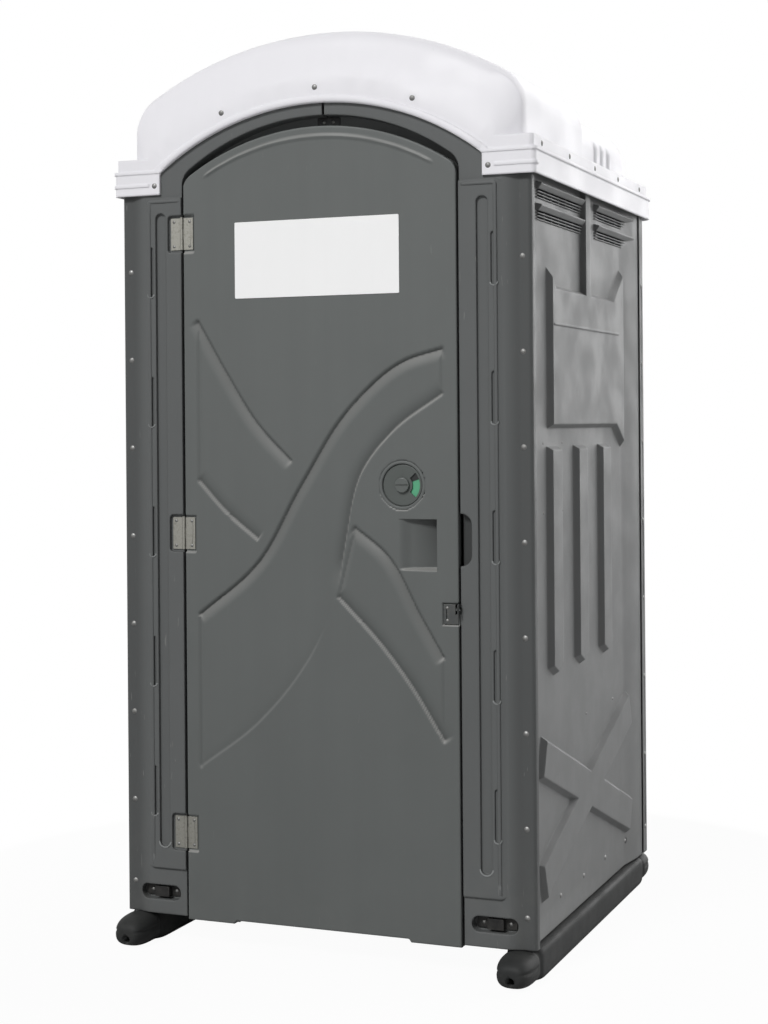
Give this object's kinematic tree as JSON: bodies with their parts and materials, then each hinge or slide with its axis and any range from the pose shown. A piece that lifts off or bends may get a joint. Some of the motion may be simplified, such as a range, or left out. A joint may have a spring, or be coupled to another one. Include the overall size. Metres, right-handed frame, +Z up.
{
  "type": "portable toilet cabin",
  "caption": "Moulded plastic site toilet cabin on skids, with an arched door, an indicator latch, ribbed walls and a domed pale roof over a tank, a seat and a urinal.",
  "frame": {"origin": "centre of the footprint, on the ground", "axes": "+X to the right seen from the door side, +Y from the door to the back, +Z up"},
  "size_m": [1.128, 1.21, 2.2838],
  "materials": {
    "wall_plastic": "fine-grained moulded polyethylene, mid grey",
    "front_plastic": "fine-grained moulded polyethylene, grey",
    "door_plastic": "fine-grained moulded polyethylene, grey",
    "roof_plastic": "satin off-white polyethylene",
    "skid_plastic": "dark grey recycled polyethylene",
    "pan_plastic": "dark grey moulded polyethylene",
    "black_plastic": "black nylon",
    "rivet_metal": "plain rivet heads",
    "hinge_steel": "zinc plated",
    "hasp_chrome": "bright plated",
    "latch_plastic": "dark grey nylon",
    "dial_plastic": "green and red indicator on dark nylon",
    "notice_white": "white sheet",
    "tank_plastic": "black moulded polyethylene",
    "seat_plastic": "black polypropylene",
    "pipe_plastic": "light grey pipe",
    "urinal_plastic": "grey moulded polyethylene",
    "tissue": "wound paper",
    "dispenser_white": "white moulded case"
  },
  "bodies": {
    "cabin": {"skid_left": "skid_plastic", "skid_right": "skid_plastic", "floor_pan": "pan_plastic", "front_panel_left": "front_plastic", "front_panel_right": "front_plastic", "header_joint_plate": "black_plastic", "header_screws": "rivet_metal", "tie_down_bars": "black_plastic", "tie_down_rivets": "rivet_metal", "side_wall_left": "wall_plastic", "side_wall_right": "wall_plastic", "rear_wall": "wall_plastic", "roof": "roof_plastic", "front_corner_rivets": "rivet_metal", "rear_corner_rivets": "rivet_metal", "base_rivets": "rivet_metal", "roof_side_rivets": "rivet_metal", "roof_rear_rivets": "rivet_metal", "roof_rim_rivets": "rivet_metal", "hinge_frame_leaves": "hinge_steel", "hinge_pins": "hinge_steel", "hinge_frame_rivets": "rivet_metal", "latch_keeper": "hinge_steel", "keeper_rivets": "rivet_metal", "hasp_frame_tab": "hasp_chrome", "hasp_frame_rivets": "rivet_metal", "waste_tank": "tank_plastic", "seat_hinge": "seat_plastic", "vent_stack": "pipe_plastic", "stack_collar": "pipe_plastic", "stack_cap": "pipe_plastic", "urinal": "urinal_plastic", "urinal_drain": "pipe_plastic", "urinal_screws": "rivet_metal", "paper_holder": "black_plastic", "holder_bar": "hinge_steel", "dispenser_body": "dispenser_white", "wall_fitting_screws": "rivet_metal"},
    "door": {"door_outer_shell": "door_plastic", "door_inner_shell": "door_plastic", "notice_plate": "notice_white", "hinge_door_leaves": "hinge_steel", "hinge_door_rivets": "rivet_metal", "latch_escutcheon": "latch_plastic", "latch_bush": "latch_plastic", "hasp_door_tab": "hasp_chrome", "hasp_door_rivets": "rivet_metal", "pull_handle": "black_plastic", "handle_screws": "rivet_metal", "coat_hook": "black_plastic", "hook_screws": "rivet_metal"},
    "latch": {"latch_dial": "dial_plastic", "latch_cam": "hinge_steel", "latch_lever": "latch_plastic"},
    "seat": {"seat_ring": "seat_plastic"},
    "lid": {"seat_lid": "seat_plastic"},
    "roll_front": {"paper_roll_front": "tissue"},
    "roll_rear": {"paper_roll_rear": "tissue"},
    "push_plate": {"dispenser_push": "latch_plastic"}
  },
  "joints": [
    {"name": "door_swing", "type": "hinge", "parent": "cabin", "child": "door", "pos_m": [-0.37, -0.5335, 1], "axis": [0, 0, -1], "range_deg": [0, 110]},
    {"name": "latch_turn", "type": "hinge", "parent": "door", "child": "latch", "pos_m": [0.222, -0.515, 1.167], "axis": [0, 1, 0], "range_deg": [0, 90]},
    {"name": "seat_lift", "type": "hinge", "parent": "cabin", "child": "seat", "pos_m": [0, 0.445, 0.5645], "axis": [-1, 0, 0], "range_deg": [0, 85]},
    {"name": "lid_fold", "type": "hinge", "parent": "cabin", "child": "lid", "pos_m": [0, 0.445, 0.5645], "axis": [-1, 0, 0], "range_deg": [-96, 0]},
    {"name": "roll_front_spin", "type": "hinge", "parent": "cabin", "child": "roll_front", "pos_m": [0.46, 0.0515, 0.6284], "axis": [0, 1, 0], "continuous": true},
    {"name": "roll_rear_spin", "type": "hinge", "parent": "cabin", "child": "roll_rear", "pos_m": [0.46, 0.1585, 0.6284], "axis": [0, 1, 0], "continuous": true},
    {"name": "push_plate_press", "type": "hinge", "parent": "cabin", "child": "push_plate", "pos_m": [0.438, -0.31, 1.115], "axis": [0, -1, 0], "range_deg": [0, 14], "stiffness_Nm_per_rad": 1, "springref_deg": -11.46}
  ]
}
